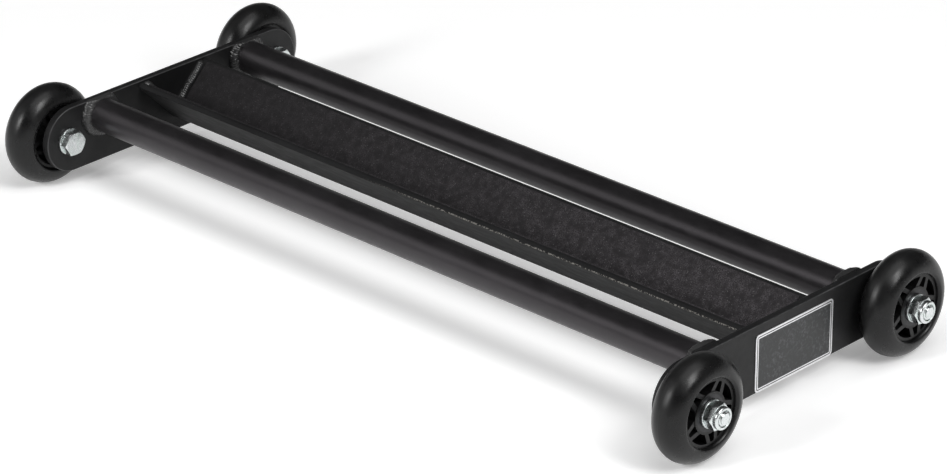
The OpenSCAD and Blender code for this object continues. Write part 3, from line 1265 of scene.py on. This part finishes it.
@dataclass
class Tyre:
    """A cast tyre with a round section, a faint parting line and a lip that turns in to the rim."""

    TREAD = "tread"

    bore_radius: float = 24 * MM
    outer_radius: float = 38 * MM
    section_radius: float = 13.5 * MM
    lip_radius: float = 2.4 * MM
    parting_height: float = 0.07 * MM
    ridge_height: float = 1.5 * MM
    ridge_half_width: float = 4.5 * MM
    section_steps: int = 72
    steps: int = 144
    finish: Urethane = Urethane()

    def section(self) -> list[Flat]:
        """The section's loop, from one lip over the tread to the other and back along the bore."""
        centre = self.outer_radius - self.section_radius
        lip_height = self.bore_radius + self.lip_radius
        start = math.degrees(math.asin((lip_height - centre) / self.section_radius))
        tread = arc((0, centre), self.section_radius, start, 180 - start, self.section_steps)
        crown = self.section_steps // 2
        tread[crown] = (0.0, self.outer_radius + self.parting_height)
        lip_along = tread[0][0] - self.lip_radius
        right_lip = arc((lip_along, lip_height), self.lip_radius, -90, -10, 8)
        left_lip = arc((-lip_along, lip_height), self.lip_radius, 190, 270, 8)
        groove_foot, groove_head = self.ridge_half_width, self.ridge_half_width - self.ridge_height / 2
        groove = [
            (-groove_foot, self.bore_radius),
            (-groove_head, self.bore_radius + self.ridge_height),
            (groove_head, self.bore_radius + self.ridge_height),
            (groove_foot, self.bore_radius),
        ]
        return right_lip + tread + left_lip + groove

    def build(self) -> Piece:
        """Turns the tyre about the X axis, with its middle at the origin.

        Returns:
            The tyre, dressed but not in place.
        """
        tyre = turn_on_lathe("tyre", self.section(), self.steps)
        tread = tyre.data.attributes.new(self.TREAD, "FLOAT", "POINT")
        reach = self.outer_radius - self.bore_radius
        for vertex, value in zip(tyre.data.vertices, tread.data):
            value.value = (math.hypot(vertex.co.y, vertex.co.z) - self.bore_radius) / reach
        shade(tyre, 40)
        dress(tyre, self.finish.mix())
        return tyre


@dataclass
class Hub:
    """A moulded hub: a rim and a boss joined by five V-shaped spokes, open right through between them."""

    rim_outer: float = 24 * MM
    rim_inner: float = 21.8 * MM
    rim_half: float = 10.5 * MM
    ridge_height: float = 1.5 * MM
    ridge_half_width: float = 4.5 * MM
    boss_outer: float = 14.8 * MM
    boss_half: float = 11 * MM
    seat_radius: float = 13 * MM
    seat_depth: float = 8 * MM
    step_radius: float = 11 * MM
    spoke_count: int = 5
    arm: float = 3.1 * MM
    foot_angle: float = 18.5
    head_angle: float = 8.5
    start_angle: float = 62
    corner_round: float = 0.8 * MM
    edge: float = 0.35 * MM
    steps: int = 120
    finish: Moulding = Moulding(
        "hub_moulding", (0.005, 0.005, 0.0052), (0.01, 0.01, 0.01), roughness=0.36, gloss=0.3
    )

    def section(self) -> list[Flat]:
        """The section's loop as (along X, radius), with the web still solid."""
        boss, seat = self.boss_half, self.boss_half - self.seat_depth
        foot, head = self.ridge_half_width, self.ridge_half_width - self.ridge_height / 2
        right = [
            (foot, self.rim_outer),
            (self.rim_half, self.rim_outer),
            (self.rim_half, self.boss_outer),
            (boss, self.boss_outer),
            (boss, self.seat_radius),
            (seat, self.seat_radius),
            (seat, self.step_radius),
        ]
        left = [(-along, radius) for along, radius in reversed(right)]
        top = self.rim_outer + self.ridge_height
        return right + left + [(-head, top), (head, top)]

    def arm_face(self, angle: float, foot: float, head: float, side: float) -> tuple[Vector, Vector]:
        """One face of an arm, as two points in the wheel's plane.

        Args:
            angle: The V's middle, in degrees.
            foot: The arm's angle from it at the boss, in degrees.
            head: The arm's angle from it at the rim, in degrees.
            side: 1 for the face at larger angles, and -1 for the other.

        Returns:
            A point at the boss and one at the rim.
        """
        inner = Matrix.Rotation(math.radians(angle + foot), 2) @ Vector((self.boss_outer, 0))
        outer = Matrix.Rotation(math.radians(angle + head), 2) @ Vector((self.rim_inner, 0))
        run = (outer - inner).normalized()
        off = Vector((-run.y, run.x)) * side * self.arm / 2
        return inner + off, outer + off

    @staticmethod
    def meet(line: tuple[Vector, Vector], radius: float) -> Vector:
        """Where a line through two points crosses a circle round the axle, going outward."""
        run = (line[1] - line[0]).normalized()
        nearest = line[0] - run * line[0].dot(run)
        return nearest + run * math.sqrt(radius**2 - nearest.length_squared)

    def cutter(self, first: tuple[Vector, Vector], second: tuple[Vector, Vector]) -> Piece:
        """A long bar that cuts the opening between two arm faces.

        Args:
            first: Two points on the face that the opening starts from.
            second: Two points on the face where it ends, at larger angles.

        Returns:
            The bar, with its four long corners rounded.
        """
        corners = [
            self.meet(first, self.boss_outer),
            self.meet(first, self.rim_inner),
            self.meet(second, self.rim_inner),
            self.meet(second, self.boss_outer),
        ]
        outline = [tuple(corners[0])]
        outline += self.round_between(corners[1], corners[2], self.rim_inner)
        outline += self.round_between(corners[3], corners[0], self.boss_outer)[:-1]
        reach = 1.5 * self.boss_half
        bar = cut_slab("cutter", outline, -reach, 2 * reach)
        near = MM / 100
        with at_the_bench(bar):
            choose(
                bar, Pick.EDGES,
                lambda middle: abs(middle.x) < near
                and any((middle.yz - corner).length < near for corner in corners),
            )
            bpy.ops.mesh.bevel(offset=self.corner_round, segments=4, affect="EDGES", clamp_overlap=True)
        return bar

    @staticmethod
    def round_between(start: Vector, end: Vector, radius: float) -> list[Flat]:
        """Points along a circle round the axle from one point to another, the short way."""
        first = math.degrees(math.atan2(start.y, start.x))
        sweep = (math.degrees(math.atan2(end.y, end.x)) - first + 180) % 360 - 180
        return arc((0, 0), radius, first, first + sweep, max(2, round(abs(sweep) / 3)))

    def build(self) -> Piece:
        """Turns the hub solid, cuts its ten openings and rounds its edges.

        Returns:
            The hub about the X axis with its middle at the origin, dressed but not in place.
        """
        hub = turn_on_lathe("hub", self.section(), self.steps)
        cutters = []
        pitch = 360 / self.spoke_count
        for spoke in range(self.spoke_count):
            angle = self.start_angle + spoke * pitch
            low_arm = (angle, -self.foot_angle, -self.head_angle)
            high_arm = (angle, self.foot_angle, self.head_angle)
            next_arm = (angle + pitch, -self.foot_angle, -self.head_angle)
            cutters.append(self.cutter(self.arm_face(*low_arm, 1), self.arm_face(*high_arm, -1)))
            cutters.append(self.cutter(self.arm_face(*high_arm, 1), self.arm_face(*next_arm, -1)))
        combine(hub, join(cutters), "DIFFERENCE")
        soften(hub, self.edge, segments=2, sharper_than=40)
        smooth(hub)
        dress(hub, self.finish.mix())
        return hub


# What is stacked on each axle


ZINC = Steel("zinc_plate", (0.74, 0.76, 0.77), (0.66, 0.72, 0.7), roughness=0.27)
BEARING_STEEL = Steel(
    "bearing_steel", (0.62, 0.62, 0.63), (0.5, 0.5, 0.52), roughness=0.2, dent_depth=0.004 * MM
)
RING_STEEL = Steel(
    "outer_ring_steel", (0.06, 0.06, 0.062), (0.04, 0.04, 0.042), roughness=0.34, dent_depth=0.004 * MM
)
SPACER_STEEL = Steel("spacer_steel", (0.6, 0.61, 0.62), (0.48, 0.5, 0.5), roughness=0.3)
SHIELD = Moulding("bearing_shield", (0.02, 0.02, 0.021), (0.05, 0.05, 0.052), roughness=0.4)
CAGE_NYLON = Moulding("cage_nylon", (0.55, 0.42, 0.25), (0.66, 0.54, 0.36), glow=0.15)


@dataclass
class Fasteners:
    """The bolt, its two washers and its lock nut, all modelled along X from the glider's middle."""

    hex_width: float = 17 * MM
    head_height: float = 6.4 * MM
    washer_radius: float = 10 * MM
    washer_thickness: float = 2 * MM
    washer_edge: float = 0.35 * MM
    bolt_radius: float = 5 * MM
    thread_pitch: float = 1.5 * MM
    thread_depth: float = 0.85 * MM
    thread_length: float = 18 * MM
    bolt_chamfer: float = 1 * MM
    play: float = 0.05 * MM
    nut_height: float = 6.5 * MM
    collar_height: float = 3.5 * MM
    collar_radius: float = 8 * MM
    collar_round: float = 1.3 * MM
    lip_radius: float = 5.8 * MM
    nylon_radius: float = 6.6 * MM
    nylon_height: float = 2.6 * MM
    chamfer_angle: float = 30
    arris: float = 0.18 * MM
    corner_cut: float = 0.3 * MM
    lip_thickness: float = 0.9 * MM
    overlap: float = 1 * MM
    finish: Steel = ZINC
    nylon: Moulding = Moulding("nut_nylon", (0.5, 0.52, 0.52), (0.62, 0.64, 0.64), roughness=0.4, glow=0.1)

    def hexagon(self, name: str, start: float, height: float, chamfers: Sequence[float]) -> Piece:
        """A hexagon prism on X with its corners turned off.

        The prism and the turning that trims it end in different planes, since a boolean of faces in
        one plane comes out differently from run to run.

        Args:
            name: The piece's name.
            start: Where it starts along X.
            height: Its height toward +X.
            chamfers: The stations of the faces that are chamfered.

        Returns:
            The hexagon.
        """
        corner = self.hex_width / math.sqrt(3)
        face, wide = self.hex_width / 2 - self.corner_cut, corner + self.overlap
        drop = (wide - face) * math.tan(math.radians(self.chamfer_angle))
        ends, section = [], []
        for end, inward in ((start, 1), (start + height, -1)):
            outside = end - inward * self.overlap
            cut = [(end, 0.0), (end, face), (end + inward * drop, wide)]
            if end not in chamfers:
                cut = [(outside, 0.0), (outside, wide)]
            ends.append(outside if end in chamfers else end)
            section += cut if inward > 0 else cut[::-1]
        prism = start_from(
            bpy.ops.mesh.primitive_cylinder_add, name, vertices=6, radius=corner,
            depth=ends[1] - ends[0], location=(sum(ends) / 2, 0, 0), rotation=(0, QUARTER_TURN, 0),
        )
        soften(prism, self.arris, segments=2, sharper_than=40)
        combine(prism, turn_on_lathe("turning", section, 96, closed=False), "INTERSECT")
        return prism

    def thread(self, name: str, end: float) -> Piece:
        """The threaded end of the bolt, with its last turns run out into a chamfer.

        Args:
            name: The piece's name.
            end: Where the bolt ends along X.

        Returns:
            The thread, as a closed shell.
        """
        root = self.bolt_radius - self.thread_depth
        pitch = self.thread_pitch
        turns = round(self.thread_length / pitch)
        start = end - (turns - 1) * pitch
        profile = [
            (0.0, root), (0.42 * pitch, self.bolt_radius), (0.56 * pitch, self.bolt_radius), (pitch, root),
        ]
        piece = draw(name, [Vector((start - pitch + along, radius, 0)) for along, radius in profile], False)
        use_modifier(
            piece, "SCREW", axis="X", angle=FULL_TURN, screw_offset=pitch, iterations=turns,
            steps=36, render_steps=36, use_merge_vertices=True, merge_threshold=MM / 1000,
        )
        close_up(piece)
        for station, normal in ((end, 1), (start, -1)):
            with at_the_bench(piece, take_all=True):
                bpy.ops.mesh.bisect(
                    plane_co=(station, 0, 0), plane_no=(normal, 0, 0), clear_outer=True, use_fill=True
                )
        for vertex in piece.data.vertices:
            limit = self.bolt_radius - max(0.0, self.bolt_chamfer - (end - vertex.co.x))
            radius = math.hypot(vertex.co.y, vertex.co.z)
            if radius > limit:
                vertex.co.y *= limit / radius
                vertex.co.z *= limit / radius
        piece.data.update()
        return piece

    def bolt(self) -> Piece:
        """The hexagon bolt.

        Returns:
            The bolt, along X.
        """
        seat = STATIONS.plate_inner - self.washer_thickness
        head = self.hexagon("bolt", seat - self.head_height, self.head_height, (seat - self.head_height,))
        plain_end = STATIONS.bolt_end - self.thread_length + 2 * self.thread_pitch
        under_head = seat - self.overlap / 10
        shank = turn_on_lathe(
            "shank",
            [
                (under_head, 0.0), (under_head, self.bolt_radius),
                (plain_end, self.bolt_radius), (plain_end, 0.0),
            ],
            64, closed=False,
        )
        return join([head, shank, self.thread("thread", STATIONS.bolt_end)])

    def washer(self, name: str, start: float) -> Piece:
        """A flat washer with stamped, rounded edges."""
        return turn_on_lathe(
            name,
            ring_section(
                start, start + self.washer_thickness, self.bolt_radius + self.play,
                self.washer_radius, self.washer_edge,
            ),
        )

    def nut(self) -> Piece:
        """The lock nut: a hexagon, and a collar rolled in over its nylon ring.

        Returns:
            The nut, along X.
        """
        start = STATIONS.hub_outer + self.washer_thickness
        top = start + self.nut_height
        end = top + self.collar_height
        foot, lip = top - self.overlap, end - self.lip_thickness
        body = self.hexagon("nut", start, self.nut_height, (start, top))
        corners = [
            (foot, self.nylon_radius, 0),
            (lip, self.nylon_radius, 0),
            (lip, self.lip_radius, 0.2 * MM),
            (end, self.lip_radius, 0.35 * MM),
            (end, self.collar_radius, self.collar_round),
            (foot, self.collar_radius, 0),
        ]
        combine(body, turn_on_lathe("collar", rounded(corners, 6)), "UNION")
        drill(body, (top, 0, 0), self.bolt_radius, 4 * self.nut_height)
        return body

    def build(self) -> None:
        """Models one of each, and lays copies at the four corners."""
        zinc, nylon = self.finish.mix(), self.nylon.mix()
        nut_seat = STATIONS.hub_outer
        ring_start = nut_seat + self.washer_thickness + self.nut_height
        ring = turn_on_lathe(
            "nylon_ring",
            ring_section(
                ring_start, ring_start + self.nylon_height, self.bolt_radius, self.nylon_radius, 0.1 * MM
            ),
        )
        models = [
            (self.bolt(), "bolt", zinc, Slot.ZINC, "axle_bolts"),
            (self.washer("head_washer", STATIONS.plate_inner - self.washer_thickness), "head_washer",
             zinc, Slot.ZINC, "head_washers"),
            (self.washer("nut_washer", nut_seat), "nut_washer", zinc, Slot.ZINC, "nut_washers"),
            (self.nut(), "lock_nut", zinc, Slot.ZINC, "lock_nuts"),
            (ring, "nut_ring", nylon, Slot.NYLON, "nut_nylon_rings"),
        ]
        for model, name, finish, slot, node in models:
            smooth(model)
            dress(model, finish)
            for corner in CORNERS:
                place = (0, corner.row.value * STATIONS.axle_y, STATIONS.axle_z)
                piece = copy_of(model, f"{name}_{corner.name}", corner.turn, place)
                fit(piece, "frame", slot, node)
            bpy.data.objects.remove(model)


@dataclass
class Wheels:
    """The four wheels: one tyre and one hub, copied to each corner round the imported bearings."""

    tyre: Tyre = field(default_factory=Tyre)
    hub: Hub = field(default_factory=Hub)

    def build(self) -> None:
        """Models one wheel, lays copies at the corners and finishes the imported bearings."""
        models = ((self.tyre.build(), "tyre", Slot.TYRE), (self.hub.build(), "hub", Slot.HUB))
        for model, kind, slot in models:
            for corner in CORNERS:
                place = (
                    corner.side.value * STATIONS.wheel_middle,
                    corner.row.value * STATIONS.axle_y,
                    STATIONS.axle_z,
                )
                piece = copy_of(model, f"{corner.name}_{kind}", corner.turn, place)
                fit(piece, corner.wheel_body, slot, f"{kind}_{corner.name}")
            bpy.data.objects.remove(model)
        finishes = {
            "outer_rings": RING_STEEL,
            "inner_rings": BEARING_STEEL,
            "balls": BEARING_STEEL,
            "shields": SHIELD,
            "ball_cages": CAGE_NYLON,
            "hub_sleeve": SPACER_STEEL,
            "plate_spacer": SPACER_STEEL,
        }
        mixed = {finish: finish.mix() for finish in dict.fromkeys(finishes.values())}
        for kind, finish in finishes.items():
            for corner in CORNERS:
                dress(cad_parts[f"{kind}_{corner.name}"], mixed[finish])


# Studio


@dataclass(frozen=True)
class Softbox:
    """A soft rectangular lamp aimed at the glider, placed by azimuth and elevation in degrees."""

    name: str
    azimuth: float
    elevation: float
    distance: float
    width: float
    height: float
    power: float

    def hang(self) -> None:
        """Adds the lamp."""
        lamp = bpy.data.lights.new(self.name, "AREA")
        lamp.shape = "RECTANGLE"
        lamp.size, lamp.size_y = self.width, self.height
        lamp.energy = self.power
        holder = bpy.data.objects.new(self.name, lamp)
        bpy.context.scene.collection.objects.link(holder)
        back = direction(self.azimuth, self.elevation)
        holder.location = back * self.distance
        holder.rotation_euler = back.to_track_quat("Z", "Y").to_euler()


def direction(azimuth: float, elevation: float) -> Vector:
    """The way from the glider to a point seen at an azimuth and an elevation, in degrees."""
    around, above = math.radians(azimuth), math.radians(elevation)
    return Vector((
        math.sin(around) * math.cos(above),
        -math.cos(around) * math.cos(above),
        math.sin(above),
    ))


@dataclass
class Studio:
    """A pale paper sweep, soft lamps and the camera at the photograph's angle."""

    azimuth: float = 43.853
    elevation: float = 25.491
    roll: float = -0.19
    distance: float = 3.0152
    target: tuple[float, float, float] = (0.02313, -0.00758, 0.03)
    lens: float = 163.34
    sensor: float = 36.0
    sweep_flat: float = 6.0
    sweep_curve: float = 1.2
    sweep_height: float = 1.4
    sweep_steps: int = 96
    paper: Colour = (0.93, 0.93, 0.93)
    paper_glow: float = 0.28
    room: Colour = (0.02, 0.02, 0.02)
    softboxes: tuple[Softbox, ...] = (
        Softbox("right", 90, 44, 4.5, 1.3, 2.3, 88),
        Softbox("front", 350, 30, 3.6, 0.7, 1.2, 56),
        Softbox("top", 90, 72, 3.4, 3.0, 3.0, 48),
        Softbox("fill", 313, 26, 3.6, 2.5, 1.8, 12),
    )

    def sweep(self) -> None:
        """A round floor that curves up into a wall all round, and shows white where no shadow falls."""
        flat, curve = self.sweep_flat, self.sweep_curve
        section = [(0.0, 0.0), (0.0, flat)]
        section += [(curve + along, flat + out) for along, out in arc((0, 0), curve, 180, 90, 12)[1:]]
        section.append((self.sweep_height, flat + curve))
        floor = draw("studio_sweep", [Vector((out, 0, up)) for up, out in section], False)
        with at_the_bench(floor, take_all=True):
            bpy.ops.mesh.spin(steps=self.sweep_steps, angle=FULL_TURN, center=(0, 0, 0), axis=(0, 0, 1))
            bpy.ops.mesh.select_all(action="SELECT")
            bpy.ops.mesh.remove_doubles(threshold=MM)
        shade(floor, 30)
        shop = PaintShop("studio_paper")
        rays = shop.put("ShaderNodeLightPath").outputs
        seen = shop.calculate("MAXIMUM", rays["Is Camera Ray"], rays["Is Glossy Ray"])
        seen = shop.calculate("MAXIMUM", seen, rays["Is Transmission Ray"])
        fibre = shop.span(shop.noise(3 * MM, 2), 0.3, 0.7)
        tint = shop.blend(fibre, self.paper, tuple(part * 0.99 for part in self.paper))
        shop.set(Base_Color=tint, Roughness=0.9, Specular_IOR_Level=0.0)
        strength = shop.multiply(seen, self.paper_glow)
        shop.set(Emission_Color=(1.0, 1.0, 1.0), Emission_Strength=strength)
        dress(floor, shop.material)

    def light(self) -> None:
        """Sets the room's plain light and hangs the softboxes."""
        world = bpy.data.worlds.new("studio")
        bpy.context.scene.world = world
        world.use_nodes = True
        world.node_tree.nodes["Background"].inputs["Color"].default_value = (*self.room, 1)
        for softbox in self.softboxes:
            softbox.hang()

    def camera(self) -> None:
        """Sets up the camera, turned by the photograph's slight roll."""
        camera = bpy.data.cameras.new("camera")
        camera.lens, camera.sensor_width = self.lens, self.sensor
        camera.clip_start, camera.clip_end = 0.1, 100
        holder = bpy.data.objects.new("camera", camera)
        bpy.context.scene.collection.objects.link(holder)
        back = direction(self.azimuth, self.elevation)
        holder.location = Vector(self.target) + back * self.distance
        turn = (-back).to_track_quat("-Z", "Y").to_matrix() @ Matrix.Rotation(math.radians(self.roll), 3, "Z")
        holder.rotation_euler = turn.to_euler()
        bpy.context.scene.camera = holder

    def build(self) -> None:
        """Sets the whole studio up."""
        self.sweep()
        self.light()
        self.camera()
        bpy.context.scene.view_settings.view_transform = "Standard"


def main() -> None:
    """Builds the glider's pieces in order, then the studio."""
    logging.basicConfig(level=logging.INFO, format="%(name)s: %(message)s")
    for assembly in (
        EndPlates(), Rails(), FootTrough(), RailWelds(), TroughWelds(), BlankLabel(),
        Fasteners(), Wheels(), Studio(),
    ):
        assembly.build()
        log.info("%s done", type(assembly).__name__)


if __name__ == "__main__":
    main()
